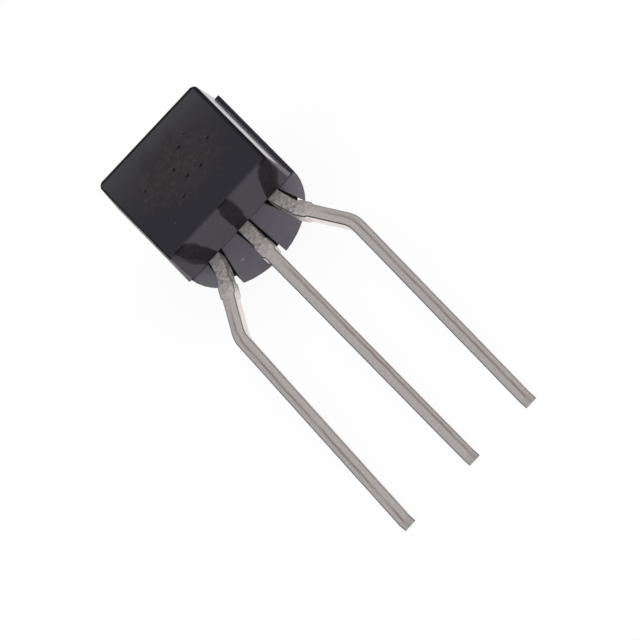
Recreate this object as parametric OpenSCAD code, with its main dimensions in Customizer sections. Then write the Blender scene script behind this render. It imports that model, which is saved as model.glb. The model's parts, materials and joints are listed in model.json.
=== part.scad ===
// Small three-lead thyristor in a D-shaped moulded body.
// Package axes: X across the flat, Y along the leads towards the top of the body,
// Z out through the flat. Z = 0 is the joint between the two mould halves and the
// front face of the leads. Y = 0 is the bottom of the body at that joint.
// The finished part is then laid on its round back and its lead tips.

/* [Body] */
// Width of the front half where the mould halves meet
front_w = 4.43; // [3.6:0.01:5.4]
// Height of the body where the mould halves meet
body_h = 4.64; // [3.8:0.01:5.6]
// Depth of the front half, from the mould joint to the flat
front_depth = 1.2; // [0.9:0.01:1.5]
// Radius of the round back
back_radius = 2.23; // [1.85:0.01:2.8]
// How far in front of the mould joint the centre of the round back lies
back_centre = 0.1; // [0:0.01:0.3]
// Draft of the walls of the front half, in degrees
front_draft = 6; // [2:0.5:10]
// Draft of the top and bottom of the back half, in degrees
back_draft = 2; // [0.5:0.5:8]
// Sideways mismatch of the front half against the back half
mould_shift = 0.1; // [0:0.01:0.2]
// Radius of the two top corners of the front half
top_corner_r = 0.25; // [0.1:0.01:0.5]
// Radius of the edge round the flat
flat_edge_r = 0.08; // [0.02:0.01:0.15]

/* [Lead slots] */
// Clearance on each side of the middle lead in its slot
slot_gap = 0.06; // [0.03:0.01:0.12]
// Clearance on each side of an outer lead in its slot
outer_slot_gap = 0.03; // [0.02:0.01:0.1]
// Height of the slots, up into the bottom of the back half
slot_h = 0.5; // [0.2:0.05:0.6]
// Turn of the outer slots, outwards to the back, in degrees
slot_turn = 11; // [0:1:20]

/* [Leads] */
// Width of a lead
lead_w = 0.43; // [0.35:0.01:0.55]
// Thickness of a lead
lead_t = 0.38; // [0.3:0.01:0.48]
// Pitch of the leads where they leave the body
lead_pitch = 1.27; // [1.05:0.01:1.55]
// Bend radius of the outer leads, on the centre line
bend_r = 1.3; // [0.5:0.1:1.6]
// Distance from the body to the stubs of the cut dam bar
stub_drop = 0.97; // [0.6:0.01:1.5]
// Length of the dam bar stubs along the lead
stub_len = 0.64; // [0.3:0.01:0.9]
// How far the dam bar stubs stand out from the edge of the lead
stub_out = 0.05; // [0.02:0.01:0.12]

/* [Gate lead, middle] */
// Length of the gate lead below the body
gate_length = 13.43; // [8:0.01:18]

/* [Cathode lead, left] */
// Length of the cathode lead below the body
cathode_length = 13.34; // [8:0.01:18]
// Distance below the body where its slope gets steeper
cathode_first_drop = 0.59; // [0.4:0.01:1.2]
// Outward offset there
cathode_first_out = 0.13; // [0.05:0.01:0.3]
// Distance below the body where it turns straight again
cathode_kink_drop = 3.07; // [2.6:0.01:4]
// Outward offset there
cathode_kink_out = 1.12; // [0.9:0.01:1.4]
// Outward lean of its straight part, in degrees
cathode_splay = 1.6; // [-2:0.1:3]

/* [Anode lead, right] */
// Length of the anode lead below the body
anode_length = 13.51; // [8:0.01:18]
// Distance below the body where its slope gets steeper
anode_first_drop = 0.95; // [0.4:0.01:1.2]
// Outward offset there
anode_first_out = 0.19; // [0.05:0.01:0.3]
// Distance below the body where it turns straight again
anode_kink_drop = 3.21; // [2.6:0.01:4]
// Outward offset there
anode_kink_out = 1.17; // [0.9:0.01:1.4]
// Outward lean of its straight part, in degrees
anode_splay = -0.5; // [-2:0.1:3]

/* [Lead frame inside the body] */
// Width of the die pad on the anode lead
die_pad_w = 1.85; // [1.6:0.01:2.2]
// Height of the die pad
die_pad_h = 1.7; // [1.5:0.01:1.9]
// Moulding left above the die pad
top_cover = 0.5; // [0.35:0.05:0.8]
// Height of the bond pads on the gate and cathode leads
bond_pad_h = 0.5; // [0.4:0.05:0.6]
// How far the cathode lead ends below the top of the die pad
cathode_pad_drop = 0.42; // [0:0.02:0.8]
// Width of the bond pad on the gate lead
gate_pad_w = 0.8; // [0.6:0.05:1]
// Smallest gap between parts of the lead frame
frame_gap = 0.3; // [0.2:0.01:0.4]

/* [Chip and bond wires] */
// Side of the square silicon chip
chip_side = 1.2; // [0.9:0.05:1.4]
// Thickness of the chip
chip_t = 0.25; // [0.18:0.01:0.35]
// Thickness of the solder under the chip
solder_t = 0.03; // [0.02:0.01:0.06]
// How far the solder shows round the chip
solder_rim = 0.05; // [0.02:0.01:0.1]
// Diameter of the gate wire
gate_wire_d = 0.08; // [0.04:0.01:0.12]
// Diameter of the cathode wire
cathode_wire_d = 0.13; // [0.08:0.01:0.2]
// Half angle of the arc of a bond wire, in degrees
loop_half_angle = 55; // [40:1:65]
// Diameter and height of the ball at its start, in wire diameters
ball_w = 1.9; // [1.4:0.1:2.5]
ball_h = 0.4; // [0.2:0.1:0.8]
// Distance of the gate wire's bond from the chip's edges
gate_bond_inset = 0.22; // [0.15:0.01:0.3]
// Distance of the cathode wire's bond above the middle of the chip
cathode_bond_up = 0.15; // [0:0.01:0.3]

/* [Hidden] */
$fn = 96;

// Steps in one bend of a lead
bend_steps = 8;
// How far a bond wire's arc runs on below both of its ends, in degrees, before it is
// cut flush there
bury = 6;

// How far a drafted wall leans in over the depth of its half
front_rise = front_depth * tan(front_draft);
back_rise = (back_radius - back_centre) * tan(back_draft);

// Lying at rest: the longest lead touches the floor with its tip, and the round back
// with its bottom edge, on both sides of the middle slot
longest = max(gate_length, cathode_length, anode_length);
middle_slot_w = lead_w + 2 * slot_gap;
rest_depth = sqrt(pow(back_radius, 2) - pow(middle_slot_w / 2, 2)) - back_centre;
rest_rise = rest_depth * tan(back_draft);
rest_pitch = atan((rest_depth - lead_t) / (longest + rest_rise));

// Centre lines of the leads in the plane of the lead frame, outwards and up,
// from inside the body to past the cut end
cathode_path = lead_path(cathode_length, cathode_first_drop, cathode_first_out,
                         cathode_kink_drop, cathode_kink_out, cathode_splay);
anode_path = lead_path(anode_length, anode_first_drop, anode_first_out,
                       anode_kink_drop, anode_kink_out, anode_splay);

// Lead frame inside the body
die_pad_right = lead_pitch + lead_w / 2;
die_pad_left = die_pad_right - die_pad_w;
die_pad_top = body_h - top_cover;
die_pad_bottom = die_pad_top - die_pad_h;
gate_pad_top = die_pad_bottom - frame_gap;
cathode_pad_top = die_pad_top - cathode_pad_drop;
cathode_pad_edge = max(-lead_pitch + lead_w / 2, die_pad_left - frame_gap);

// Chip, centred on the die pad
chip_x = (die_pad_left + die_pad_right) / 2;
chip_y = (die_pad_bottom + die_pad_top) / 2;
chip_top = solder_t + chip_t;

// Ends of the bond wires: on the chip, and on the bond pads
gate_bond_chip = [chip_x - chip_side / 2 + gate_bond_inset,
                  chip_y - chip_side / 2 + gate_bond_inset];
gate_bond_pad = [0, gate_pad_top - bond_pad_h / 2];
cathode_bond_chip = [chip_x, chip_y + cathode_bond_up];
cathode_bond_pad = [(-lead_pitch - lead_w / 2 + cathode_pad_edge) / 2,
                    cathode_pad_top - bond_pad_h / 2];

// Outer box of the part as it lies, for placing its origin
box_left = max(lead_reach(cathode_path, cathode_length, cathode_splay),
               back_radius, front_w / 2 + mould_shift);
box_right = max(lead_reach(anode_path, anode_length, anode_splay),
                back_radius, front_w / 2 - mould_shift);
box_near = -longest * cos(rest_pitch);
box_far = (body_h - back_rise) * cos(rest_pitch)
    + (back_radius - back_centre) * sin(rest_pitch);
box_floor = rest_rise * sin(rest_pitch) - rest_depth * cos(rest_pitch);

// Vertices of an outer lead's centre line
function lead_path(len, drop1, out1, drop2, out2, splay) = [
    [lead_pitch, body_h],
    [lead_pitch, 0],
    [lead_pitch + out1, -drop1],
    [lead_pitch + out2, -drop2],
    [lead_pitch + out2 + (len + 1 - drop2) * tan(splay), -len - 1]
];

// Unit vector from one point to another, and its left-hand normal
function unit(a, b) = (b - a) / norm(b - a);
function left_of(d) = [-d.y, d.x];

// Turn of a path at one vertex, signed; the tangent length; and the centre of the bend
function turn(p, i) = asin(cross(unit(p[i - 1], p[i]), unit(p[i], p[i + 1])));
function tangent_len(p, i, r) =
    (i == 0 || i == len(p) - 1) ? 0 : r * tan(abs(turn(p, i)) / 2);
function bend_centre(p, i, r) =
    p[i] - unit(p[i - 1], p[i]) * tangent_len(p, i, r)
    + left_of(unit(p[i - 1], p[i])) * r * sign(turn(p, i));

// Greatest outward reach of an outer lead: at its tip, or at its lower bend
function lead_reach(p, len, splay) =
    splay >= 0
    ? p[3].x + (len + p[3].y) * tan(splay) + lead_w / 2 / cos(splay)
    : bend_centre(p, 3, bend_r).x + bend_r + lead_w / 2;

// Edge of a strip with rounded bends, at distance h to the left of its centre line, or to
// the right where h is negative
function strip_edge(p, h, r) = [
    p[0] + left_of(unit(p[0], p[1])) * h,
    for (i = [1 : len(p) - 2]) each bend_points(p, i, h, r),
    p[len(p) - 1] + left_of(unit(p[len(p) - 2], p[len(p) - 1])) * h
];

// Points of that edge round one bend, evenly spaced over its turn
function bend_points(p, i, h, r) =
    let (side = sign(turn(p, i)),
         out = left_of(unit(p[i - 1], p[i])) * -side,
         start = atan2(out.y, out.x))
    [for (k = [0 : bend_steps])
        let (a = start + turn(p, i) * k / bend_steps)
        bend_centre(p, i, r) + [cos(a), sin(a)] * (r - side * h)];

// Strip of constant width along a path with rounded bends
module strip(p, w, r) {
    left = strip_edge(p, w / 2, r);
    back = [for (i = [len(left) - 1 : -1 : 0]) left[i]];
    polygon(concat(strip_edge(p, -w / 2, r), back));
}

// Round a convex corner of a flat profile: the waste between the corner and its arc
module corner_waste(at, dir_in, dir_out, r) {
    half = acos((-dir_in * dir_out)) / 2;
    t = r / tan(half);
    mid = dir_out - dir_in;
    c = at + mid / norm(mid) * r / sin(half);
    difference() {
        polygon([at, at + dir_out * t, c, at - dir_in * t]);
        translate(c) circle(r = r);
    }
}

// Profile of the front half across its depth: straight joint side, drafted walls
// and rounded edges at the flat. Drawn with the depth along the second axis.
module drafted_profile(low, high) {
    wall = [sin(front_draft), cos(front_draft)];
    difference() {
        polygon([[low, 0], [high, 0], [high - front_rise, front_depth],
                 [low + front_rise, front_depth]]);
        corner_waste([high - front_rise, front_depth], [-wall.x, wall.y], [-1, 0],
                     flat_edge_r);
        corner_waste([low + front_rise, front_depth], [1, 0], [-wall.x, -wall.y],
                     flat_edge_r);
    }
}

// Waste outside the rounded top corner of the front half, along its drafted edge
module top_corner_waste() {
    lean = asin(tan(front_draft) / sqrt(1 + 2 * pow(tan(front_draft), 2)));
    reach = front_depth * 3;
    translate([front_w / 2, body_h, 0]) rotate([lean, -front_draft, 0])
        translate([0, 0, -front_depth]) difference() {
            translate([-top_corner_r, -top_corner_r, 0])
                cube([top_corner_r * 3, top_corner_r * 3, reach]);
            translate([-top_corner_r, -top_corner_r, -1])
                cylinder(r = top_corner_r, h = reach + 2);
        }
}

// Front half of the moulding, with the flat
module front_half() {
    translate([-mould_shift, 0, 0]) difference() {
        intersection() {
            translate([0, body_h + 1, 0]) rotate([90, 0, 0])
                linear_extrude(height = body_h + 2)
                    drafted_profile(-front_w / 2, front_w / 2);
            translate([-front_w, 0, 0]) rotate([90, 0, 90])
                linear_extrude(height = front_w * 2)
                    drafted_profile(0, body_h);
        }
        top_corner_waste();
        mirror([1, 0, 0]) top_corner_waste();
    }
}

// Back half of the moulding: a round back with drafted ends and three lead slots
module back_half() {
    deep = back_radius * 2;
    difference() {
        intersection() {
            translate([0, -1, back_centre]) rotate([-90, 0, 0])
                cylinder(r = back_radius, h = body_h + 2);
            translate([-deep, 0, 0]) rotate([90, 0, 90])
                linear_extrude(height = deep * 2)
                    polygon([[0, 0], [body_h, 0],
                             [body_h - deep * tan(back_draft), -deep],
                             [deep * tan(back_draft), -deep]]);
        }
        lead_slot(middle_slot_w);
        for (side = [-1, 1]) {
            translate([side * lead_pitch, 0, -lead_t / 2])
                rotate([0, -side * slot_turn, 0]) translate([0, 0, lead_t / 2])
                    lead_slot((lead_w + lead_t * sin(slot_turn)) / cos(slot_turn)
                              + 2 * outer_slot_gap);
        }
    }
}

// Waste of one slot, open to the bottom and to the round back
module lead_slot(w) {
    translate([-w / 2, -1, -back_radius * 2])
        cube([w, slot_h + 1, back_radius * 2 + lead_t]);
}

module moulded_body() {
    color("#36353a") difference() {
        union() {
            front_half();
            back_half();
        }
        lead_frame_and_chip();
    }
}

// Everything that the moulding is poured round
module lead_frame_and_chip() {
    cathode_lead();
    gate_lead();
    anode_lead();
    silicon_chip();
    die_attach();
    gate_wire();
    cathode_wire();
}

// Lay a flat outline of the lead frame at its depth, front face at the mould joint
module frame_sheet() {
    translate([0, 0, -lead_t]) linear_extrude(height = lead_t) children();
}

// Everything above one line, in the plane of the lead frame
module above(y) {
    translate([-lead_pitch * 5, y]) square([lead_pitch * 10, longest + body_h * 2]);
}

// Stubs left on both edges of a lead where the dam bar was cut away
module dam_stub(x, lean) {
    translate([x, -stub_drop - stub_len / 2]) rotate(lean)
        square([lead_w + 2 * stub_out, stub_len], center = true);
}

// Outline of an outer lead below a given height in the body, on the right-hand side
module outer_lead_outline(p, len, top) {
    mid = p[3] - p[2];
    lean = atan(mid.x / -mid.y);
    intersection() {
        strip(p, lead_w, bend_r);
        above(-len);
        translate([0, top - longest * 3]) square([lead_pitch * 5, longest * 3]);
    }
    dam_stub(p[2].x + (stub_drop + stub_len / 2 + p[2].y) * tan(lean), lean);
}

module cathode_lead() {
    color("#a9a29e") mirror([1, 0, 0]) frame_sheet() {
        outer_lead_outline(cathode_path, cathode_length, cathode_pad_top);
        translate([-cathode_pad_edge, cathode_pad_top - bond_pad_h])
            square([cathode_pad_edge + lead_pitch + lead_w / 2, bond_pad_h]);
    }
}

module gate_lead() {
    color("#a9a29e") frame_sheet() {
        translate([-lead_w / 2, -gate_length])
            square([lead_w, gate_length + gate_pad_top]);
        translate([-gate_pad_w / 2, gate_pad_top - bond_pad_h])
            square([gate_pad_w, bond_pad_h]);
        dam_stub(0, 0);
    }
}

module anode_lead() {
    color("#a9a29e") frame_sheet() {
        outer_lead_outline(anode_path, anode_length, die_pad_top);
        translate([die_pad_left, die_pad_bottom]) square([die_pad_w, die_pad_h]);
    }
}

module die_attach() {
    side = chip_side + 2 * solder_rim;
    color("#8c8c90") translate([chip_x - side / 2, chip_y - side / 2, 0])
        cube([side, side, solder_t]);
}

module silicon_chip() {
    color("#4b5563") translate([chip_x - chip_side / 2, chip_y - chip_side / 2, solder_t])
        cube([chip_side, chip_side, chip_t]);
}

// Bond wire: a ball on the chip, and one arc from there down to a bond pad
module bond_wire(from, to, d) {
    run = norm(to - from);
    fall = atan(chip_top / run);
    r = norm([run, chip_top]) / 2 / sin(loop_half_angle);
    start = 90 - fall - loop_half_angle - bury;
    difference() {
        union() {
            translate([from.x, from.y, 0])
                rotate([90, 0, atan2(to.y - from.y, to.x - from.x)])
                    translate([run / 2 - r * cos(loop_half_angle) * sin(fall),
                               chip_top / 2 - r * cos(loop_half_angle) * cos(fall), 0])
                        rotate([0, 0, start])
                            rotate_extrude(angle = 2 * (loop_half_angle + bury))
                                translate([r, 0]) circle(d = d);
            translate([from.x, from.y, chip_top]) cylinder(d = d * ball_w, h = d * ball_h);
        }
        silicon_chip();
        translate([-lead_pitch * 2, 0, -lead_t * 2])
            cube([lead_pitch * 4, body_h, lead_t * 2]);
    }
}

module gate_wire() {
    color("#c9a24a") bond_wire(gate_bond_chip, gate_bond_pad, gate_wire_d);
}

module cathode_wire() {
    color("#c4c4c8") bond_wire(cathode_bond_chip, cathode_bond_pad, cathode_wire_d);
}

// The part as it lies: on the edge of its round back and on the lead tips,
// its origin under the middle of its outer box
module lying() {
    translate([(box_left - box_right) / 2, -(box_near + box_far) / 2, -box_floor])
        rotate([rest_pitch, 0, 0]) children();
}

lying() moulded_body();
lying() cathode_lead();
lying() gate_lead();
lying() anode_lead();
lying() silicon_chip();
lying() die_attach();
lying() gate_wire();
lying() cathode_wire();
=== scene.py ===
"""Looks for a small three-lead thyristor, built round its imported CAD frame.

The plastic body and the three leads are copies of the CAD solids, finished as
moulding and stamping leave them: rounded edges, a joint line between the mould
halves, slopes where the dam bar was cut. The chip, its solder and the two bond
wires inside the plastic keep their CAD meshes and get real finishes.
"""

import json
import math

import bmesh
import bpy
from mathutils import Matrix, Vector, noise
from mathutils.bvhtree import BVHTree


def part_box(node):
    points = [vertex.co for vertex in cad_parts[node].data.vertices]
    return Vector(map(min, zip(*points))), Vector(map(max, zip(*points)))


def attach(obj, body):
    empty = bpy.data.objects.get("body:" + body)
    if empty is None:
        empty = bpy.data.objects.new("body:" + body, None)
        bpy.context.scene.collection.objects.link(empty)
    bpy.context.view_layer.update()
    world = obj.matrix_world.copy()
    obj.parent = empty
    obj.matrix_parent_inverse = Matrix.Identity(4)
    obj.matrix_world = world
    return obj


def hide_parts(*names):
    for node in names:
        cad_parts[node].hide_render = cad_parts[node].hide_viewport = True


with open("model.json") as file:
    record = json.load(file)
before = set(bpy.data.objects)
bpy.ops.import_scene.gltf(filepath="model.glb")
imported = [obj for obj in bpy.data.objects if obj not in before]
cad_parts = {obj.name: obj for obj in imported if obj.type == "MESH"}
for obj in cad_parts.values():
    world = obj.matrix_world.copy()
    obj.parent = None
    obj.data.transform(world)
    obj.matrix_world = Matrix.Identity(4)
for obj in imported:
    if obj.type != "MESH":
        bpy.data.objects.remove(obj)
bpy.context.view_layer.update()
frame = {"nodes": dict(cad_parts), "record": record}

bl_info = {
    "name": "Three-lead thyristor",
    "version": (1, 0, 0),
    "blender": (4, 5, 0),
    "location": "3D View > Sidebar > Thyristor",
    "description": "Finishes a small moulded thyristor and lays it on a pale table",
    "category": "Add Mesh",
}

MM = 0.001
LEADS = ("cathode_lead", "gate_lead", "anode_lead")
MOUNTS = {mount["name"]: mount for mount in frame["record"]["mounts"]}
# The part lies on its round back. Its own axes are tilted with it: X across the flat,
# Y up along the leads, Z out through the flat, from the point where the middle of the
# gate lead's front face leaves the plastic.
FLAT_UP = Vector(MOUNTS["flat"]["axis"]).normalized()
LEAD_DOWN = Vector(MOUNTS["gate_tip"]["axis"]).normalized()
TILT = math.atan2(-FLAT_UP.y, FLAT_UP.z)
GATE_LENGTH = 13.43 * MM
LEAD_THICKNESS = 0.38 * MM
EXIT = Vector(MOUNTS["gate_tip"]["pos_m"]) - LEAD_DOWN * GATE_LENGTH + FLAT_UP * LEAD_THICKNESS / 2
PART_TO_ROW = Matrix.Translation(EXIT) @ Matrix.Rotation(TILT, 4, "X")
ROW_TO_PART = PART_TO_ROW.inverted()

# Points of a CAD node's loose triangles that are nearer than this are one corner, and
# its faces that turn by less than this are one flat face.
SAME_CORNER = 0.004 * MM
SAME_FACE = math.radians(0.6)
# A point this near a cut is taken as on it.
ON_CUT = 0.0005 * MM
# A point this near a piece, a rung or the tip of a lead lies on it.
TOUCHING = 0.005 * MM
# A point this near the middle of the joint between the mould halves lies on it.
ON_JOINT = 0.001 * MM
# A face narrower than this is a sliver.
SLIVER = 0.02 * MM
# Edges that turn by more than this are shaded sharp.
SHARP = math.radians(40)


def linear(hex_colour):
    """The linear colour of an sRGB hex value, opaque."""
    channels = [int(hex_colour[i : i + 2], 16) / 255 for i in (1, 3, 5)]
    return [c / 12.92 if c <= 0.04045 else ((c + 0.055) / 1.055) ** 2.4 for c in channels] + [1.0]


def length(name, description, default, top):
    """A size in metres that a user can change."""
    return bpy.props.FloatProperty(
        name=name, description=description, default=default, min=0.0, max=top, unit="LENGTH", precision=6,
    )


def angle(name, description, degrees):
    """An angle that a user can change."""
    return bpy.props.FloatProperty(
        name=name, description=description, default=math.radians(degrees), subtype="ANGLE", unit="ROTATION",
    )


def colour(name, description, hex_colour):
    """A colour that a user can change."""
    return bpy.props.FloatVectorProperty(
        name=name, description=description, default=linear(hex_colour), size=4,
        min=0.0, max=1.0, subtype="COLOR",
    )


class ThyristorSizes(bpy.types.PropertyGroup):
    """Sizes of the worked edges, the camera and the stage"""

    body_edge: length("Body edge", "Radius left on the plastic's edges by the mould", 0.03 * MM, 0.05 * MM)
    joint_width: length(
        "Joint width", "Half width of the line between the mould halves", 0.025 * MM, 0.1 * MM,
    )
    joint_depth: length("Joint depth", "Depth of the line between the mould halves", 0.03 * MM, 0.1 * MM)
    front_edge: length("Lead front edge", "Radius rolled over by the punch", 0.045 * MM, 0.1 * MM)
    back_edge: length("Lead back edge", "Radius of the leads' sharper back edges", 0.015 * MM, 0.05 * MM)
    stub_slope: length("Stub slope", "Length of the slope at each end of a dam bar stub", 0.1 * MM, 0.3 * MM)
    lead_waver: length("Lead waver", "How far a lead's width wavers along it", 0.008 * MM, 0.02 * MM)
    floor_radius: length("Floor radius", "Radius of the pale table top", 3.0, 10.0)
    camera_distance: length("Camera distance", "From the middle of the view to the camera", 0.5, 5.0)
    view_width: length("View width", "Width of the scene that the camera takes in", 18.88 * MM, 0.2)
    camera_turn: angle("Camera turn", "How far round the object the camera stands", 2.878)
    camera_rise: angle("Camera rise", "How steeply the camera looks down on the table", 37.19)
    camera_roll: angle("Camera roll", "How far the camera is rolled about its own view", -48.55)


class ThyristorColours(bpy.types.PropertyGroup):
    """Colours of the finishes"""

    skin: colour("Glossy skin", "The flat's moulding compound, low down", "#02050e")
    skin_high: colour("High skin", "The flat's moulding compound, at its top", "#2f2f32")
    skin_worn: colour("Wiped skin", "The middle of the flat, browned by wiping", "#14120d")
    fleck: colour("Fleck", "Pale dust left in the wiped skin", "#3b3832")
    skin_side: colour("Side skin", "Moulding compound round the front half's sides", "#1c1d20")
    skin_dusty: colour("Dusty skin", "The side walls, dusted with flash", "#7c777e")
    matt_skin: colour("Matt skin", "Moulding compound from the duller mould half", "#4b4950")
    sheen: colour("Sheen", "Tint of the skin's reflections", "#f5eaff")
    # Painted shade: the near-black painted into the lead slots, the pits and along the flat's edges.
    hollow_shade: colour("Hollows", "Inside the lead slots and pits, and along the flat's edges", "#0c0a0e")
    speck: colour("Speck", "Filler that shows pale on the plastic", "#9a9799")
    tin: colour("Tin", "Matt tin plating on the leads", "#eee6e3")
    tin_dull: colour("Dull tin", "Tin dulled by the moulding beside the plastic", "#938c8c")
    # Painted shade: the dark line down each lead's front.
    shade_line: colour("Streak", "Drawing mark along the leads, browned in the groove", "#b5a49c")
    # Painted shade: the darker rolled front edges of the leads.
    edge_shade: colour("Rubbed edge", "Front edges of the leads, rolled by the punch", "#5f5a58")
    cut_end: colour("Cut end", "Smeared tin on the cropped tips of the leads", "#ada7a5")
    # Painted shade: the leads' dark line where it runs over the cropped tips.
    shade_line_on_tip: colour("Dragged mark", "Drawing mark where cropping dragged it over the tip", "#8e817b")
    silicon: colour("Silicon", "Polished silicon", "#33363d")
    solder: colour("Solder", "Soft solder under the chip", "#a9a9a6")
    gold: colour("Gold", "Gold bond wire", "#e2b566")
    aluminium: colour("Aluminium", "Aluminium bond wire and chip metal", "#d4d6d8")
    table: colour("Table", "White table top", "#f4f4f4")


def add(tree, kind, sockets=None, links=None, **settings):
    """Adds a shader node, sets its properties and its sockets' values, and joins the links to
    its inputs. A link starts at a socket, or at the first output that a node has in use.
    Mix takes its share at socket 0, two values at 2 and 3, and two colours at 6 and 7."""
    node = tree.nodes.new("ShaderNode" + kind)
    for key, value in settings.items():
        setattr(node, key, value)
    for key, value in (sockets or {}).items():
        node.inputs[key].default_value = value
    for key, source in (links or {}).items():
        if isinstance(source, bpy.types.Node):
            source = next(output for output in source.outputs if output.enabled)
        tree.links.new(source, node.inputs[key])
    return node


def new_material(name):
    """An empty material with the given name, and its node tree."""
    material = bpy.data.materials.new(name)
    material.use_nodes = True
    material.node_tree.nodes.clear()
    return material, material.node_tree


def part_millimetres(tree, origin=EXIT):
    """A node that gives millimetres along the part's own axes, from a point on it."""
    where = add(tree, "TexCoord")
    return add(
        tree, "Mapping",
        sockets={"Location": origin, "Rotation": (TILT, 0, 0), "Scale": (MM, MM, MM)},
        links={"Vector": where.outputs["Object"]}, vector_type="TEXTURE",
    )


def layered(tree, base, layers):
    """Lays colours over a base in order, each as far as its own mask lets it cover."""
    for cover, mask in layers:
        base = add(tree, "Mix", sockets={7: cover}, links={0: mask, 6: base}, data_type="RGBA")
    return base


def wiped_patch(tree, mm, clouds, flat):
    """Where the flat is wiped: a patch that fades out at an oval of 3.6 mm by 3.1 mm,
    with a broken edge."""
    oval = add(
        tree, "Mapping", sockets={"Location": (0.055, -1.6, 0.0), "Scale": (0.55, 0.64, 0.0)},
        links={"Vector": mm},
    )
    reach = add(tree, "VectorMath", links={0: oval}, operation="LENGTH")
    ragged = add(tree, "Math", sockets={1: 1.4}, links={0: clouds, 2: reach}, operation="MULTIPLY_ADD")
    wiped = add(
        tree, "MapRange",
        sockets={"From Min": 1.2, "From Max": 1.75, "To Min": 1.0, "To Max": 0.0},
        links={"Value": ragged}, interpolation_type="SMOOTHSTEP",
    )
    return add(tree, "Math", links={0: wiped, 1: flat}, operation="MULTIPLY")


def flecks(tree, mm, worn):
    """Where pale dust stays in the wiped patch, in flecks under 0.2 mm."""
    dust = add(
        tree, "TexNoise", sockets={"Scale": 5.5, "Detail": 4.0, "Roughness": 0.62}, links={"Vector": mm},
    )
    fleck = add(
        tree, "MapRange", sockets={"From Min": 0.5, "From Max": 0.7, "To Max": 0.45}, links={"Value": dust},
    )
    return add(tree, "Math", links={0: fleck, 1: worn}, operation="MULTIPLY")


def pits(tree, mm, worn):
    """Where the wiped patch is pitted: 0.1 mm wide, and one to each 0.8 mm square."""
    cells = add(tree, "TexVoronoi", sockets={"Scale": 1.25}, links={"Vector": mm}, voronoi_dimensions="2D")
    pit = add(
        tree, "MapRange",
        sockets={"From Min": 0.03, "From Max": 0.1, "To Min": 1.0, "To Max": 0.0},
        links={"Value": cells}, interpolation_type="SMOOTHSTEP",
    )
    return add(tree, "Math", links={0: pit, 1: worn}, operation="MULTIPLY")


def painted_edge_shade(tree, mm, flat):
    """Where shade is painted along the flat: its last 0.1 mm, to its sides and its top."""
    middle = add(tree, "Mapping", sockets={"Location": (0.13, -2.36, 0.0)}, links={"Vector": mm})
    split = add(tree, "SeparateXYZ", links={"Vector": middle})
    across = add(tree, "Math", links={0: split.outputs["X"]}, operation="ABSOLUTE")
    reach = add(tree, "Math", links={0: across, 1: split.outputs["Y"]}, operation="MAXIMUM")
    edge = add(
        tree, "MapRange", sockets={"From Min": 1.96, "From Max": 2.05},
        links={"Value": reach}, interpolation_type="SMOOTHSTEP",
    )
    return add(tree, "Math", links={0: edge, 1: flat}, operation="MULTIPLY")


def clean_flat(tree, colours, at):
    """The flat's colour, which lightens from the lower end to the top."""
    height = add(
        tree, "MapRange", sockets={"From Min": 1.0, "From Max": 4.35}, links={"Value": at.outputs["Y"]},
    )
    rise = add(tree, "Math", sockets={1: 2.4}, links={0: height}, operation="POWER")
    return add(
        tree, "Mix", sockets={6: colours.skin, 7: colours.skin_high}, links={0: rise}, data_type="RGBA",
    )


def side_walls(tree, colours, at):
    """The front half's sides, with dust on the side walls down to the ledge."""
    from_middle = add(tree, "Math", sockets={1: 0.1}, links={0: at.outputs["X"]}, operation="ADD")
    reach = add(tree, "Math", links={0: from_middle}, operation="ABSOLUTE")
    side = add(tree, "MapRange", sockets={"From Min": 2.05, "From Max": 2.09}, links={"Value": reach})
    above = add(
        tree, "MapRange", sockets={"From Min": 0.02, "From Max": 0.05}, links={"Value": at.outputs["Z"]},
    )
    dusty = add(tree, "Math", links={0: side, 1: above}, operation="MULTIPLY")
    return add(
        tree, "Mix", sockets={6: colours.skin_side, 7: colours.skin_dusty}, links={0: dusty},
        data_type="RGBA",
    )


def matt_half(tree, colours, mm, clouds):
    """The back half's colour, cloudy, with painted light that lightens it over its last millimetre to the
    rim.
    """
    round_middle = add(
        tree, "Mapping", sockets={"Location": (0.0, 0.0, -0.1), "Scale": (1.0, 0.0, 1.0)},
        links={"Vector": mm},
    )
    reach = add(tree, "VectorMath", links={0: round_middle}, operation="LENGTH")
    # Painted light: the colour goes from 0.92 to 1.8 times as light towards the rim.
    rim = add(
        tree, "MapRange",
        sockets={"From Min": 1.0, "From Max": 2.15, "To Min": 0.92, "To Max": 1.8},
        links={"Value": reach},
    )
    cloudy = add(
        tree, "MapRange",
        sockets={"From Min": 0.3, "From Max": 0.7, "To Min": 0.9, "To Max": 1.1},
        links={"Value": clouds},
    )
    shade = add(tree, "Math", links={0: rim, 1: cloudy}, operation="MULTIPLY")
    return add(
        tree, "VectorMath", sockets={0: colours.matt_skin[:3]}, links={"Scale": shade}, operation="SCALE",
    )


def pale_grains(tree, mm):
    """Where filler grains show: a faint one in about four square millimetres, and one
    large one in the bottom of the back half."""
    cells = add(tree, "TexVoronoi", sockets={"Scale": 1.5}, links={"Vector": mm})
    small = add(
        tree, "MapRange",
        sockets={"From Min": 0.02, "From Max": 0.06, "To Min": 0.12, "To Max": 0.0},
        links={"Value": cells}, interpolation_type="SMOOTHSTEP",
    )
    off = add(tree, "VectorMath", sockets={1: (-0.76, 0.035, -0.98)}, links={0: mm}, operation="DISTANCE")
    large = add(
        tree, "MapRange",
        sockets={"From Min": 0.02, "From Max": 0.07, "To Min": 0.75, "To Max": 0.0},
        links={"Value": off}, interpolation_type="SMOOTHSTEP",
    )
    return add(tree, "Math", links={0: small, 1: large}, operation="MAXIMUM")


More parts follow.
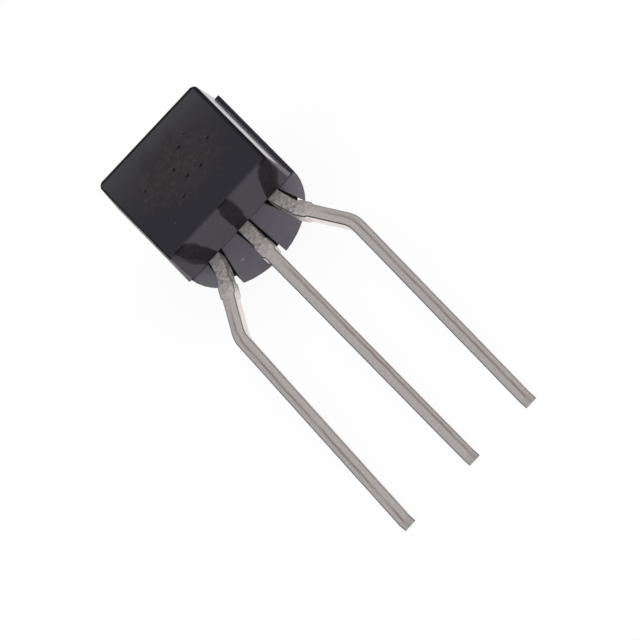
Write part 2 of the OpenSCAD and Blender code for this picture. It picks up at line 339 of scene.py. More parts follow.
def epoxy_moulding(colours):
    """Black epoxy moulding compound, transfer moulded. The polished front half of the
    mould leaves a glossy, faintly violet skin, darkest low on the flat; the back half
    comes out greyer and matt. Wiping has browned and pitted the middle of the flat."""
    material, tree = new_material("epoxy_moulding_compound")
    mm = part_millimetres(tree)
    at = add(tree, "SeparateXYZ", links={"Vector": mm})
    # Behind the joint the plastic is matt. The flat lies 1.2 mm in front of the leads.
    matt = add(
        tree, "MapRange",
        sockets={"From Min": -0.06, "From Max": -0.03, "To Min": 1.0, "To Max": 0.0},
        links={"Value": at.outputs["Z"]},
    )
    flat = add(
        tree, "MapRange", sockets={"From Min": 1.08, "From Max": 1.14}, links={"Value": at.outputs["Z"]},
    )
    # Clouds half a millimetre apart shade the back, and break the wiped patch's edge.
    clouds = add(
        tree, "TexNoise", sockets={"Scale": 1.9, "Detail": 6.0, "Roughness": 0.66}, links={"Vector": mm},
    )
    worn = wiped_patch(tree, mm, clouds, flat)
    pitted = pits(tree, mm, worn)
    edges = painted_edge_shade(tree, mm, flat)
    # The wiped patch and its flecks are the flat's own wear. The pits are real dents, pressed in by the bump
    # below; their near-black, like that along the flat's edges, is painted shade.
    flat_skin = layered(tree, clean_flat(tree, colours, at), (
        (colours.skin_worn, worn), (colours.fleck, flecks(tree, mm, worn)),
        (colours.hollow_shade, pitted), (colours.hollow_shade, edges),
    ))
    front = add(
        tree, "Mix", links={0: flat, 6: side_walls(tree, colours, at), 7: flat_skin}, data_type="RGBA",
    )
    halves = add(
        tree, "Mix", links={0: matt, 6: front, 7: matt_half(tree, colours, mm, clouds)}, data_type="RGBA",
    )
    base = layered(tree, halves, [(colours.speck, pale_grains(tree, mm))])
    # Filler grains are 0.02 to 0.05 mm; drawn at 0.06 mm, the finest that shows.
    grain = add(
        tree, "TexNoise", sockets={"Scale": 17.0, "Detail": 3.0, "Roughness": 0.7}, links={"Vector": mm},
    )
    dents = add(tree, "Mix", sockets={2: 0.04, 3: 0.45}, links={0: matt})
    grain_bump = add(
        tree, "Bump", sockets={"Distance": 0.012 * MM}, links={"Height": grain, "Strength": dents},
    )
    bump = add(
        tree, "Bump", sockets={"Strength": 0.9, "Distance": 0.03 * MM},
        links={"Height": pitted, "Normal": grain_bump}, invert=True,
    )
    # Mirror-like in front, satin where wiped, dull at the back and on the scuffed left wall.
    left = add(
        tree, "MapRange",
        sockets={"From Min": -2.18, "From Max": -2.12, "To Min": 1.0, "To Max": 0.0},
        links={"Value": at.outputs["X"]},
    )
    gloss = add(tree, "MapRange", sockets={"To Min": 0.09, "To Max": 0.26}, links={"Value": worn})
    scuffed = add(tree, "Mix", sockets={3: 0.7}, links={0: left, 2: gloss})
    rough = add(tree, "Mix", sockets={3: 0.5}, links={0: matt, 2: scuffed})
    # Reflections fade by a tenth on the flat, and further on the left wall, in pits and at edges.
    dead = add(tree, "Math", links={0: pitted, 1: edges}, operation="MAXIMUM")
    for place, share in ((flat, 0.15), (left, 0.5)):
        faded = add(tree, "Math", sockets={1: share}, links={0: place}, operation="MULTIPLY")
        dead = add(tree, "Math", links={0: dead, 1: faded}, operation="MAXIMUM")
    shine = add(tree, "MapRange", sockets={"To Min": 0.5, "To Max": 0.16}, links={"Value": dead})
    surface = add(
        tree, "BsdfPrincipled", sockets={"IOR": 1.685, "Specular Tint": colours.sheen},
        links={"Base Color": base, "Roughness": rough, "Specular IOR Level": shine, "Normal": bump},
    )
    add(tree, "OutputMaterial", links={"Surface": surface})
    return material


def epoxy_in_slots(colours):
    """Epoxy inside the lead slots, painted almost black and unevenly as the shade deep in the slots, and
    dull."""
    material, tree = new_material("epoxy_in_slots")
    # Painted shade: the slots' epoxy is darkened unevenly, to between 0.6 and 1.3 times the near-black.
    slot_shade_noise = add(
        tree, "TexNoise", sockets={"Scale": 9.0, "Detail": 4.0}, links={"Vector": part_millimetres(tree)},
    )
    shade = add(tree, "MapRange", sockets={"To Min": 0.6, "To Max": 1.3}, links={"Value": slot_shade_noise})
    base = add(
        tree, "VectorMath", sockets={0: colours.hollow_shade[:3]}, links={"Scale": shade}, operation="SCALE",
    )
    surface = add(
        tree, "BsdfPrincipled",
        sockets={"IOR": 1.55, "Roughness": 0.9, "Specular IOR Level": 0.2}, links={"Base Color": base},
    )
    add(tree, "OutputMaterial", links={"Surface": surface})
    return material


def lead_place(tree):
    """The place across, along and through a lead that its points store, whole and split."""
    where = add(tree, "Attribute", attribute_name="lead_coord").outputs["Vector"]
    return where, add(tree, "SeparateXYZ", links={"Vector": where})


def from_shade_line(tree, at, middle):
    """How far a point lies from the middle of the lead's painted shade line, to either side."""
    off = add(tree, "Math", links={0: at.outputs["X"], 1: middle}, operation="SUBTRACT")
    return add(tree, "Math", links={0: off}, operation="ABSOLUTE")


def painted_shade_line(tree, at, streaks):
    """Where the painted shade line down the lead's front shows: it fades out 0.065 mm to either side,
    wanders by 0.03 mm, breaks up, and starts clear of the plastic."""
    strays = add(
        tree, "TexNoise", sockets={"Scale": 0.9, "Detail": 4.0}, links={"W": at.outputs["Y"]},
        noise_dimensions="1D",
    )
    stray = add(tree, "MapRange", sockets={"To Min": -0.03, "To Max": 0.03}, links={"Value": strays})
    place = add(tree, "Attribute", attribute_name="shade_line_place")
    middle = add(tree, "Math", links={0: stray, 1: place.outputs["Fac"]}, operation="ADD")
    mark = add(
        tree, "MapRange", sockets={"From Max": 0.065, "To Min": 1.0, "To Max": 0.0},
        links={"Value": from_shade_line(tree, at, middle)}, interpolation_type="SMOOTHSTEP",
    )
    start = add(
        tree, "MapRange", sockets={"From Min": 1.7, "From Max": 3.0},
        links={"Value": at.outputs["Y"]}, interpolation_type="SMOOTHSTEP",
    )
    breaks = add(
        tree, "MapRange", sockets={"From Min": 0.3, "From Max": 0.55, "To Min": 0.25},
        links={"Value": streaks},
    )
    for mask in (start, breaks):
        mark = add(tree, "Math", links={0: mark, 1: mask}, operation="MULTIPLY")
    return mark


def tin_shade(tree, where, near):
    """How light the tin is: blotches of 0.1 mm on its dull part, and its grain all over."""
    blots = add(
        tree, "TexNoise", sockets={"Scale": 8.0, "Detail": 4.0, "Roughness": 0.6}, links={"Vector": where},
    )
    blot = add(
        tree, "MapRange",
        sockets={"From Min": 0.35, "From Max": 0.65, "To Min": 0.6, "To Max": 1.35},
        links={"Value": blots},
    )
    blotched = add(tree, "Mix", sockets={2: 1.0}, links={0: near, 3: blot})
    # Plated tin's grain is 0.01 mm. Drawn at 0.08 mm, so that it shows.
    grain = add(
        tree, "TexNoise", sockets={"Scale": 13.0, "Detail": 3.0, "Roughness": 0.7}, links={"Vector": where},
    )
    grained = add(
        tree, "MapRange",
        sockets={"From Min": 0.3, "From Max": 0.7, "To Min": 0.88, "To Max": 1.12},
        links={"Value": grain},
    )
    return add(tree, "Math", links={0: blotched, 1: grained}, operation="MULTIPLY")


def rolled_edges(tree, at):
    """The front edges that the punch rolled over, and how much painted shade darkens them: the left-hand one
    more than the right-hand one."""
    rolled = add(
        tree, "MapRange",
        sockets={"From Min": -0.014, "From Max": -0.003, "To Min": 1.0, "To Max": 0.0},
        links={"Value": at.outputs["Z"]},
    )
    punched = add(
        tree, "MapRange", sockets={"From Min": -0.055, "From Max": -0.042},
        links={"Value": at.outputs["Z"]},
    )
    more = add(
        tree, "MapRange",
        sockets={"From Min": -0.1, "From Max": 0.1, "To Min": 1.0, "To Max": 0.42},
        links={"Value": at.outputs["X"]},
    )
    edge = add(tree, "Math", links={0: rolled, 1: punched}, operation="MULTIPLY")
    return edge, add(tree, "Math", links={0: edge, 1: more}, operation="MULTIPLY")


def tinned_lead(colours):
    """Copper strip, stamped and matt tin plated: a warm pale metal with a line of painted shade along it,
    painted shade on its front edges, and mottled dull beside the plastic."""
    material, tree = new_material("matt_tin_on_stamped_copper")
    where, at = lead_place(tree)
    # Rolling the strip left streaks 0.1 mm apart and over a millimetre long.
    streaks_at = add(tree, "Mapping", sockets={"Scale": (9.0, 0.7, 9.0)}, links={"Vector": where})
    streaks = add(
        tree, "TexNoise", sockets={"Scale": 1.0, "Detail": 5.0, "Roughness": 0.6},
        links={"Vector": streaks_at},
    )
    mottle = add(
        tree, "TexNoise", sockets={"Scale": 4.5, "Detail": 6.0, "Roughness": 0.7}, links={"Vector": where},
    )
    patch = add(
        tree, "MapRange", sockets={"From Min": 0.35, "From Max": 0.65, "To Min": 0.65},
        links={"Value": mottle},
    )
    near = add(
        tree, "MapRange",
        sockets={"From Min": 0.85, "From Max": 1.95, "To Min": 1.0, "To Max": 0.06},
        links={"Value": at.outputs["Y"]}, interpolation_type="SMOOTHSTEP",
    )
    dull = add(tree, "Math", links={0: near, 1: patch}, operation="MULTIPLY")
    even = add(
        tree, "Mix", sockets={6: colours.tin, 7: colours.tin_dull}, links={0: dull}, data_type="RGBA",
    )
    plated = add(
        tree, "VectorMath", links={0: even, "Scale": tin_shade(tree, where, near)}, operation="SCALE",
    )
    edge, edge_shade = rolled_edges(tree, at)
    # Painted shade: a dark line down the lead's front, and the rolled front edges darkened, the left-hand
    # one more.
    base = layered(tree, plated, (
        (colours.shade_line, painted_shade_line(tree, at, streaks)), (colours.edge_shade, edge_shade),
    ))
    brushed = add(
        tree, "MapRange",
        sockets={"From Min": 0.3, "From Max": 0.7, "To Min": 0.27, "To Max": 0.4},
        links={"Value": streaks},
    )
    dulled = add(tree, "Mix", sockets={3: 0.52}, links={0: near, 2: brushed})
    rough = add(tree, "Mix", sockets={3: 0.5}, links={0: edge, 2: dulled})
    streak_bump = add(
        tree, "Bump", sockets={"Strength": 0.3, "Distance": 0.006 * MM}, links={"Height": streaks},
    )
    bump = add(
        tree, "Bump", sockets={"Distance": 0.012 * MM},
        links={"Height": mottle, "Strength": dull, "Normal": streak_bump},
    )
    # A thin grey film of moulding dust covers half of the metal beside the plastic.
    bare = add(tree, "MapRange", sockets={"To Min": 1.0, "To Max": 0.5}, links={"Value": near})
    surface = add(
        tree, "BsdfPrincipled",
        links={"Base Color": base, "Metallic": bare, "Roughness": rough, "Normal": bump},
    )
    add(tree, "OutputMaterial", links={"Surface": surface})
    return material


def cropped_end(colours):
    """Copper strip cropped after plating: tin smeared down over the cut, grey and rough, with the painted
    shade line carried down over it and painted shade at its corners."""
    material, tree = new_material("cropped_lead_end")
    where, at = lead_place(tree)
    # The smear runs down through the strip, in streaks 0.05 mm apart.
    smear_at = add(tree, "Mapping", sockets={"Scale": (22.0, 22.0, 4.0)}, links={"Vector": where})
    smear = add(
        tree, "TexNoise", sockets={"Scale": 1.0, "Detail": 4.0, "Roughness": 0.6},
        links={"Vector": smear_at},
    )
    shade = add(
        tree, "MapRange",
        sockets={"From Min": 0.3, "From Max": 0.7, "To Min": 0.93, "To Max": 1.05},
        links={"Value": smear},
    )
    smeared = add(
        tree, "VectorMath", sockets={0: colours.cut_end[:3]}, links={"Scale": shade}, operation="SCALE",
    )
    # Painted shade: the lead's dark line carried down over the tip, and its side corners darkened.
    place = add(tree, "Attribute", attribute_name="shade_line_place")
    mark = add(
        tree, "MapRange", sockets={"From Max": 0.08, "To Min": 0.5, "To Max": 0.0},
        links={"Value": from_shade_line(tree, at, place.outputs["Fac"])}, interpolation_type="SMOOTHSTEP",
    )
    across = add(tree, "Math", links={0: at.outputs["X"]}, operation="ABSOLUTE")
    corner = add(tree, "MapRange", sockets={"From Min": 0.165, "From Max": 0.205}, links={"Value": across})
    base = layered(tree, smeared, ((colours.shade_line_on_tip, mark), (colours.edge_shade, corner)))
    bump = add(tree, "Bump", sockets={"Strength": 0.4, "Distance": 0.006 * MM}, links={"Height": smear})
    surface = add(
        tree, "BsdfPrincipled", sockets={"Metallic": 1.0, "Roughness": 0.5},
        links={"Base Color": base, "Normal": bump},
    )
    add(tree, "OutputMaterial", links={"Surface": surface})
    return material


def metallised_silicon(colours):
    """A polished silicon die: dark mirror sides, and satin aluminium over the top,
    split into the cathode's field and the gate's corner."""
    material, tree = new_material("metallised_silicon")
    low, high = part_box("silicon_chip")
    mm = part_millimetres(tree, (low + high) / 2)
    at = add(tree, "SeparateXYZ", links={"Vector": mm})
    # The metal stops 0.1 mm short of the sawn edges, on the top only.
    across, along = (
        add(tree, "Math", links={0: at.outputs[axis]}, operation="ABSOLUTE") for axis in "XY"
    )
    reach = add(tree, "Math", links={0: across, 1: along}, operation="MAXIMUM")
    inside = add(tree, "Math", sockets={1: 0.5}, links={0: reach}, operation="LESS_THAN")
    top = add(tree, "Math", sockets={1: 0.1}, links={0: at.outputs["Z"]}, operation="GREATER_THAN")
    # A gap of 0.04 mm bends round the gate's corner of the metal.
    corner = add(tree, "VectorMath", sockets={1: (-0.5, -0.5, 0.125)}, links={0: mm}, operation="DISTANCE")
    from_gap = add(tree, "Math", sockets={1: 0.42}, links={0: corner}, operation="SUBTRACT")
    gap_size = add(tree, "Math", links={0: from_gap}, operation="ABSOLUTE")
    clear = add(tree, "Math", sockets={1: 0.02}, links={0: gap_size}, operation="GREATER_THAN")
    field = add(tree, "Math", links={0: inside, 1: top}, operation="MULTIPLY")
    metal = add(tree, "Math", links={0: field, 1: clear}, operation="MULTIPLY")
    base = add(
        tree, "Mix", sockets={6: colours.silicon, 7: colours.aluminium}, links={0: metal}, data_type="RGBA",
    )
    grains = add(tree, "TexNoise", sockets={"Scale": 30.0, "Detail": 3.0}, links={"Vector": mm})
    satin = add(tree, "MapRange", sockets={"To Min": 0.22, "To Max": 0.42}, links={"Value": grains})
    rough = add(tree, "Mix", sockets={2: 0.12}, links={0: metal, 3: satin})
    surface = add(
        tree, "BsdfPrincipled", sockets={"IOR": 3.9},
        links={"Base Color": base, "Roughness": rough, "Metallic": metal},
    )
    add(tree, "OutputMaterial", links={"Surface": surface})
    return material


def soft_solder(colours):
    """Lead-tin solder, reflowed: dull grey, wrinkled and faintly frosted."""
    material, tree = new_material("soft_solder")
    frost = add(
        tree, "TexNoise", sockets={"Scale": 14.0, "Detail": 5.0}, links={"Vector": part_millimetres(tree)},
    )
    rough = add(tree, "MapRange", sockets={"To Min": 0.3, "To Max": 0.6}, links={"Value": frost})
    bump = add(tree, "Bump", sockets={"Strength": 0.5, "Distance": 0.01 * MM}, links={"Height": frost})
    surface = add(
        tree, "BsdfPrincipled", sockets={"Base Color": colours.solder, "Metallic": 1.0},
        links={"Roughness": rough, "Normal": bump},
    )
    add(tree, "OutputMaterial", links={"Surface": surface})
    return material


def drawn_wire(name, metal_colour, smooth, dull):
    """Fine wire drawn through a die and bonded: bright metal, with soft marks 0.04 mm
    apart from the bonding tool."""
    material, tree = new_material(name)
    marks = add(
        tree, "TexNoise", sockets={"Scale": 25.0, "Detail": 3.0}, links={"Vector": part_millimetres(tree)},
    )
    rough = add(tree, "MapRange", sockets={"To Min": smooth, "To Max": dull}, links={"Value": marks})
    surface = add(
        tree, "BsdfPrincipled", sockets={"Base Color": metal_colour, "Metallic": 1.0},
        links={"Roughness": rough},
    )
    add(tree, "OutputMaterial", links={"Surface": surface})
    return material


def merged_copy(node):
    """A closed copy of a CAD node: its loose triangles joined, its flat faces whole."""
    bm = bmesh.new()
    bm.from_mesh(frame["nodes"][node].data)
    bmesh.ops.remove_doubles(bm, verts=bm.verts, dist=SAME_CORNER)
    bmesh.ops.dissolve_limit(bm, angle_limit=SAME_FACE, verts=bm.verts, edges=bm.edges)
    return bm


def sharp_edges(bm, least):
    """The outward edges that turn by more than an angle."""
    return [e for e in bm.edges if e.is_manifold and e.is_convex and e.calc_face_angle() > least]


def round_off(bm, edges, radius):
    """Rounds edges to a radius."""
    bmesh.ops.bevel(
        bm, geom=[e for e in edges if e.is_valid], affect="EDGES", offset=radius, offset_type="OFFSET",
        segments=3, profile=0.5, material=-1, clamp_overlap=False,
    )


def cut_across(bm, level, axis):
    """Cuts the mesh's faces along a plane square to one of the part's own axes, of which
    X is 0, Y 1 and Z 2."""
    normal = Vector((0, 0, 0))
    normal[axis] = 1.0
    bmesh.ops.bisect_plane(
        bm, geom=bm.verts[:] + bm.edges[:] + bm.faces[:], dist=ON_CUT,
        plane_co=PART_TO_ROW @ (normal * level), plane_no=PART_TO_ROW.to_3x3() @ normal,
    )


def finish_piece(bm, name, node, materials):
    """Turns a bmesh into a smooth piece that stands for its CAD node."""
    mesh = bpy.data.meshes.new(name)
    for face in bm.faces:
        face.smooth = True
    bm.to_mesh(mesh)
    bm.free()
    for material in materials:
        mesh.materials.append(material)
    mesh.set_sharp_from_angle(angle=SHARP)
    piece = bpy.data.objects.new(name, mesh)
    bpy.context.scene.collection.objects.link(piece)
    weigh = piece.modifiers.new("even_shading", "WEIGHTED_NORMAL")
    weigh.keep_sharp = True
    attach(piece, "root")
    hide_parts(node)
    return piece


def finish_node(node, material):
    """Gives a CAD node that stays as it is its material."""
    slots = frame["nodes"][node].data.materials
    slots.clear()
    slots.append(material)


class THYRISTOR_OT_stage(bpy.types.Operator):
    """Sets up the table, the soft light and the camera"""

    bl_idname = "thyristor.stage"
    bl_label = "Stage"

    # The softbox, in metres and watts, stands a little to the front.
    softbox_size = (1.6, 0.8)
    softbox_place = (0.0, -0.15, 0.8)
    softbox_power = 5.9
    # The width of the camera's film, in the camera's own millimetres.
    film_width = 36.0
    # The view centres 5.1 mm below the plastic, a little to the cathode's side.
    view_middle = Vector((-0.3296, -5.1121, 0.0)) * MM

    def execute(self, context):
        scene = context.scene
        sizes, colours = scene.thyristor_sizes, scene.thyristor_colours
        scene.view_settings.view_transform = "Standard"
        self.make_floor(scene, sizes, colours)
        self.make_room(scene)
        self.make_lamp(scene)
        self.make_camera(scene, sizes)
        return {"FINISHED"}

    def make_floor(self, scene, sizes, colours):
        """A round white table top."""
        bm = bmesh.new()
        bmesh.ops.create_circle(bm, cap_ends=True, segments=96, radius=sizes.floor_radius)
        mesh = bpy.data.meshes.new("table_top")
        bm.to_mesh(mesh)
        bm.free()
        floor = bpy.data.objects.new("table_top", mesh)
        scene.collection.objects.link(floor)
        mesh.materials.append(self.white_laminate(colours))

    def white_laminate(self, colours):
        """White laminate: it lights the part as white paint does, and looks plain white
        to the eye and in the metal, apart from a little of its shadow."""
        material, tree = new_material("white_laminate")
        paint = add(tree, "BsdfDiffuse", sockets={"Color": colours.table})
        glow = add(tree, "Emission", sockets={"Color": (1, 1, 1, 1), "Strength": 1.0})
        rays = add(tree, "LightPath")
        shown = rays.outputs["Is Camera Ray"]
        for kind in ("Is Glossy Ray", "Is Transmission Ray"):
            shown = add(tree, "Math", links={0: shown, 1: rays.outputs[kind]}, operation="MAXIMUM")
        share = add(tree, "Math", sockets={1: 0.93}, links={0: shown}, operation="MULTIPLY")
        both = add(tree, "MixShader", links={0: share, 1: paint, 2: glow})
        add(tree, "OutputMaterial", links={"Surface": both})
        return material

    def make_room(self, scene):
        """White up to the horizon, dim walls above it, a grey ceiling that comes lower
        behind the table than in front of it, and the softbox's glow overhead."""
        world = bpy.data.worlds.new("studio_room")
        scene.world = world
        world.use_nodes = True
        tree = world.node_tree
        tree.nodes.clear()
        where = add(tree, "TexCoord")
        at = add(tree, "SeparateXYZ", links={"Vector": where.outputs["Generated"]})
        light = add(
            tree, "MapRange",
            sockets={"From Min": 0.04, "From Max": 0.12, "To Min": 1.0, "To Max": 0.1},
            links={"Value": at.outputs["Z"]}, interpolation_type="SMOOTHSTEP",
        )
        # The ceiling, then the glow: how far each leans to the back, where it starts and
        # ends, and how bright it is.
        for lean, start, end, bright in ((0.25, 0.55, 0.9, 0.34), (-0.2, 0.8, 0.92, 0.7)):
            rise = add(
                tree, "Math", sockets={1: lean}, links={0: at.outputs["Y"], 2: at.outputs["Z"]},
                operation="MULTIPLY_ADD",
            )
            patch = add(
                tree, "MapRange",
                sockets={"From Min": start, "From Max": end, "To Max": bright},
                links={"Value": rise}, interpolation_type="SMOOTHSTEP",
            )
            light = add(tree, "Math", links={0: light, 1: patch}, operation="ADD")
        background = add(tree, "Background", sockets={"Color": (1, 1, 1, 1)}, links={"Strength": light})
        add(tree, "OutputWorld", links={"Surface": background})

    def make_lamp(self, scene):
        """A wide softbox overhead. Polished metal mirrors the room's own glow there,
        which is hardly brighter than white, instead of the lamp."""
        lamp = bpy.data.lights.new("overhead_softbox", "AREA")
        lamp.shape = "RECTANGLE"
        lamp.size, lamp.size_y = self.softbox_size
        lamp.energy = self.softbox_power
        holder = bpy.data.objects.new("overhead_softbox", lamp)
        holder.location = self.softbox_place
        holder.visible_glossy = False
        scene.collection.objects.link(holder)

    def make_camera(self, scene, sizes):
        """A long lens, which looks down on the flat from the side of the lead tips."""
        turn, rise, roll = sizes.camera_turn, sizes.camera_rise, sizes.camera_roll
        back = Vector((math.sin(turn) * math.cos(rise), -math.cos(turn) * math.cos(rise), math.sin(rise)))
        level = Vector((math.cos(turn), math.sin(turn), 0.0))
        upright = back.cross(level)
        right = level * math.cos(roll) + upright * math.sin(roll)
        up = back.cross(right)
        data = bpy.data.cameras.new("camera")
        data.sensor_width = self.film_width
        data.lens = self.film_width * sizes.camera_distance / sizes.view_width
        data.clip_start = 0.01
        data.clip_end = 10.0
        camera = bpy.data.objects.new("camera", data)
        place = PART_TO_ROW @ self.view_middle + back * sizes.camera_distance
        turned = Matrix((right, up, back)).transposed().to_4x4()
        camera.matrix_world = Matrix.Translation(place) @ turned
        scene.collection.objects.link(camera)
        scene.camera = camera


class THYRISTOR_OT_body(bpy.types.Operator):
    """Makes the moulded plastic body"""

    bl_idname = "thyristor.body"
    bl_label = "Plastic body"

    # The round back is drawn about a point this far in front of the leads' front faces,
    # and the walls of the lead slots stay inside this radius of it.
    round_middle = 0.1 * MM
    slot_reach = 2.18 * MM
    # The slots' walls begin behind this, at least so far from the bottom and the top.
    slot_front = 0.01 * MM
    slot_bottom = 0.04 * MM
    slot_top = 0.2 * MM
    # The bottom of the back half rises by this much for each unit that it goes back.
    bottom_slope = 0.035

    def execute(self, context):
        sizes, colours = context.scene.thyristor_sizes, context.scene.thyristor_colours
        bm = merged_copy("moulded_body")
        buried = self.buried_trees()
        near = {v: self.touches(buried, v.co) for v in bm.verts}
        # Faces whose every corner lies on a buried piece are pockets, not skin.
        pockets = {f for f in bm.faces if all(near[v] for v in f.verts)}
        skin = [v for v in bm.verts if not near[v]]
        bmesh.ops.remove_doubles(bm, verts=skin, dist=SLIVER)
        pockets = {f for f in pockets if f.is_valid}
        edges = [e for e in sharp_edges(bm, math.radians(30)) if not pockets.intersection(e.link_faces)]
        round_off(bm, edges, sizes.body_edge)
        self.press_joint(bm, buried, sizes)
        self.mark_hollows(bm)
        materials = [epoxy_moulding(colours), epoxy_in_slots(colours)]
        finish_piece(bm, "plastic_body", "moulded_body", materials)
        return {"FINISHED"}

    def buried_trees(self):
        """A search tree for each piece that the plastic is moulded round."""
        trees = []
        for name, node in frame["nodes"].items():
            if name != "moulded_body":
                piece = bmesh.new()
                piece.from_mesh(node.data)
                trees.append(BVHTree.FromBMesh(piece))
                piece.free()
        return trees

    def touches(self, trees, place):
        """Whether a point lies on any of the pieces."""
        return any(tree.find_nearest(place, TOUCHING)[0] is not None for tree in trees)

    def press_joint(self, bm, buried, sizes):
        """Presses in a fine line where the mould halves meet, at the top and the bottom."""
        for level in (-sizes.joint_width, 0.0, sizes.joint_width):
            cut_across(bm, level, 2)
        bm.normal_update()
        for v in bm.verts:
            place = ROW_TO_PART @ v.co
            if abs(place.z) > ON_JOINT or self.touches(buried, v.co):
                continue
            facing = (ROW_TO_PART.to_3x3() @ v.normal).y
            # Only the skin that faces almost straight up or down has the line.
            if abs(facing) > 0.9:
                place.y -= math.copysign(sizes.joint_depth, facing)
                v.co = PART_TO_ROW @ place

    def mark_hollows(self, bm):
        """Gives the faces inside the lead slots the second material, which paints shade there."""
        bm.normal_update()
        top = max((ROW_TO_PART @ v.co).y for v in bm.verts) - self.slot_top
        for face in bm.faces:
            p = ROW_TO_PART @ face.calc_center_median()
            outwards = (ROW_TO_PART.to_3x3() @ face.normal).z
            bottom = self.slot_bottom - self.bottom_slope * p.z
            inside = math.hypot(p.x, p.z - self.round_middle) < self.slot_reach and bottom < p.y < top
            if inside and p.z < self.slot_front and outwards < 0.5:
                face.material_index = 1


class THYRISTOR_OT_leads(bpy.types.Operator):
    """Makes the three stamped leads"""

    bl_idname = "thyristor.leads"
    bl_label = "Leads"

    # How far each lead's painted shade line runs to the right of its middle, in millimetres.
    shade_line_places = (-0.03, 0.08, 0.04)
    # The dam bar's stubs stand at least this far from the plastic and from the tips.
    stub_clear = 0.3 * MM
    # The strip is cut across about this often.
    rung_spacing = 0.1 * MM
    # The waver starts this far below the plastic, with this many bumps to a millimetre.
    # Its noise is read this far apart for the two sides and for the three leads.
    waver_start = -0.1 * MM
    waver_bumps = 1.3
    side_apart = 3.3
    lead_apart = 9.7

    def execute(self, context):
        sizes, colours = context.scene.thyristor_sizes, context.scene.thyristor_colours
        materials = [tinned_lead(colours), cropped_end(colours)]
        for number, node in enumerate(LEADS):
            bm = merged_copy(node)
            tip = min((ROW_TO_PART @ v.co).y for v in bm.verts)
            self.slope_stubs(bm, tip, sizes)
            levels = self.cut_rungs(bm)
            middles = [self.middle_at(bm, level) for level in levels]
            self.round_edges(bm, tip, sizes)
            self.waver(bm, levels, middles, sizes, number)
            self.mark_end(bm, tip)
            piece = finish_piece(bm, node.replace("_lead", "_pin"), node, materials)
            self.store_coordinates(piece.data, levels, middles)
            place = piece.data.attributes.new("shade_line_place", "FLOAT", "POINT")
            place.data.foreach_set("value", [self.shade_line_places[number]] * len(place.data))
        return {"FINISHED"}

    def slope_stubs(self, bm, tip, sizes):
        """Slopes the square ends of the dam bar stubs, as cutting the bar leaves them."""
        corners = []
        for e in sharp_edges(bm, math.radians(60)):
            a, b = (ROW_TO_PART @ v.co for v in e.verts)
            through = abs((a - b).normalized().z) > 0.99
            if through and tip + self.stub_clear < a.y < -self.stub_clear:
                corners.append((a, e))
        corners.sort(key=lambda c: c[0].x)
        for pair in (corners[:2], corners[2:]):
            (low, lower), (high, upper) = sorted(pair, key=lambda c: c[0].y)
            along = PART_TO_ROW.to_3x3() @ Vector((high.x - low.x, high.y - low.y, 0.0)).normalized()
            for v in upper.verts:
                v.co -= along * sizes.stub_slope
            for v in lower.verts:
                v.co += along * sizes.stub_slope

    def cut_rungs(self, bm):
        """Cuts the strip across at even steps, and returns where."""
        corners = [(ROW_TO_PART @ v.co).y for v in bm.verts]
        low, high = min(corners), max(corners)
        count = round((high - low) / self.rung_spacing)
        levels = [high - (high - low) * (i + 0.5) / count for i in range(count)]
        # A rung too near a corner would leave a sliver.
        levels = [y for y in levels if min(abs(y - corner) for corner in corners) > SLIVER]
        for level in levels:
            cut_across(bm, level, 1)
        return levels

    def middle_at(self, bm, level):
        """The middle of the strip's width on one rung."""
        sides = [p.x for p in (ROW_TO_PART @ v.co for v in bm.verts) if abs(p.y - level) < TOUCHING]
        return (min(sides) + max(sides)) / 2

    def round_edges(self, bm, tip, sizes):
        """Rounds the long edges outside the plastic, the front ones more."""
        front, back = [], []
        for e in sharp_edges(bm, SHARP):
            p = ROW_TO_PART @ ((e.verts[0].co + e.verts[1].co) / 2)
            if tip + TOUCHING < p.y < -SLIVER:
                (front if p.z > -LEAD_THICKNESS / 2 else back).append(e)
        round_off(bm, front, sizes.front_edge)
        round_off(bm, back, sizes.back_edge)

    def waver(self, bm, levels, middles, sizes, number):
        """Narrows the strip a little here and there, as punching leaves it."""
        for v in bm.verts:
            p = ROW_TO_PART @ v.co
            if p.y > self.waver_start:
                continue
            i = min(range(len(levels)), key=lambda k: abs(levels[k] - p.y))
            side = 1 if p.x > middles[i] else -1
            spot = Vector((side * self.side_apart, p.y / MM * self.waver_bumps, number * self.lead_apart))
            p.x -= side * (noise.noise(spot) * 0.5 + 0.5) * sizes.lead_waver
            v.co = PART_TO_ROW @ p

    def mark_end(self, bm, tip):
        """Gives the cut tip the second material."""
        for face in bm.faces:
            if all((ROW_TO_PART @ v.co).y < tip + TOUCHING for v in face.verts):
                face.material_index = 1

    def store_coordinates(self, mesh, levels, middles):
        """Stores each point's place across, along and through its lead, in millimetres."""
        runs = [0.0]
        for i in range(1, len(levels)):
            runs.append(runs[-1] + math.hypot(levels[i - 1] - levels[i], middles[i - 1] - middles[i]))
        exit_rung = min(range(len(levels)), key=lambda i: abs(levels[i]))
        start = runs[exit_rung] + levels[exit_rung]
        stored = mesh.attributes.new("lead_coord", "FLOAT_VECTOR", "POINT")
        for v in mesh.vertices:
            p = ROW_TO_PART @ v.co
            i = min(range(len(levels) - 1), key=lambda k: abs((levels[k] + levels[k + 1]) / 2 - p.y))
            share = (levels[i] - p.y) / (levels[i] - levels[i + 1])
            middle = middles[i] + (middles[i + 1] - middles[i]) * share
            slope = math.atan2(middles[i + 1] - middles[i], levels[i] - levels[i + 1])
            run = runs[i] + (runs[i + 1] - runs[i]) * share
            across = (p.x - middle) * math.cos(slope)
            along = run - start + (p.x - middle) * math.sin(slope)
            stored.data[v.index].vector = Vector((across, along, p.z)) / MM


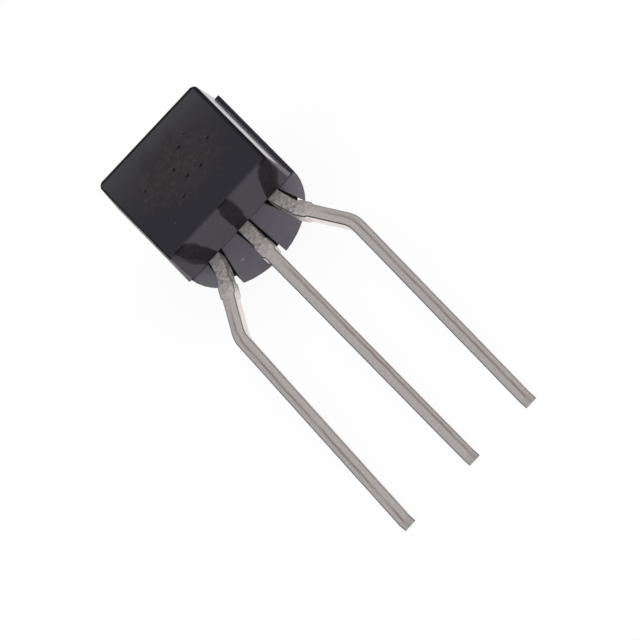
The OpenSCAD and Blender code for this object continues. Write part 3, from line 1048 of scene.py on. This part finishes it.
class THYRISTOR_OT_chip(bpy.types.Operator):
    """Finishes the chip and the solder under it"""

    bl_idname = "thyristor.chip"
    bl_label = "Chip and solder"

    def execute(self, context):
        colours = context.scene.thyristor_colours
        finish_node("silicon_chip", metallised_silicon(colours))
        finish_node("die_attach", soft_solder(colours))
        return {"FINISHED"}


class THYRISTOR_OT_bond_wires(bpy.types.Operator):
    """Finishes the gold gate wire and the aluminium cathode wire"""

    bl_idname = "thyristor.bond_wires"
    bl_label = "Bond wires"

    def execute(self, context):
        colours = context.scene.thyristor_colours
        finish_node("gate_wire", drawn_wire("drawn_gold_wire", colours.gold, smooth=0.15, dull=0.3))
        aluminium = drawn_wire("drawn_aluminium_wire", colours.aluminium, smooth=0.25, dull=0.42)
        finish_node("cathode_wire", aluminium)
        return {"FINISHED"}


class THYRISTOR_PT_panel(bpy.types.Panel):
    """Lists the thyristor's pieces, sizes and colours"""

    bl_label = "Thyristor"
    bl_idname = "THYRISTOR_PT_panel"
    bl_space_type = "VIEW_3D"
    bl_region_type = "UI"
    bl_category = "Thyristor"

    def draw(self, context):
        layout = self.layout
        for kind in OPERATORS:
            layout.operator(kind.bl_idname)
        for group in (context.scene.thyristor_sizes, context.scene.thyristor_colours):
            box = layout.box()
            for key in group.__annotations__:
                box.prop(group, key)


OPERATORS = (
    THYRISTOR_OT_stage, THYRISTOR_OT_body, THYRISTOR_OT_leads, THYRISTOR_OT_chip, THYRISTOR_OT_bond_wires,
)
CLASSES = (ThyristorSizes, ThyristorColours) + OPERATORS + (THYRISTOR_PT_panel,)


def register():
    for kind in CLASSES:
        bpy.utils.register_class(kind)
    bpy.types.Scene.thyristor_sizes = bpy.props.PointerProperty(type=ThyristorSizes)
    bpy.types.Scene.thyristor_colours = bpy.props.PointerProperty(type=ThyristorColours)


def unregister():
    del bpy.types.Scene.thyristor_colours
    del bpy.types.Scene.thyristor_sizes
    for kind in reversed(CLASSES):
        bpy.utils.unregister_class(kind)


def main():
    register()
    bpy.ops.thyristor.stage()
    bpy.ops.thyristor.body()
    bpy.ops.thyristor.leads()
    bpy.ops.thyristor.chip()
    bpy.ops.thyristor.bond_wires()


if __name__ == "__main__":
    main()
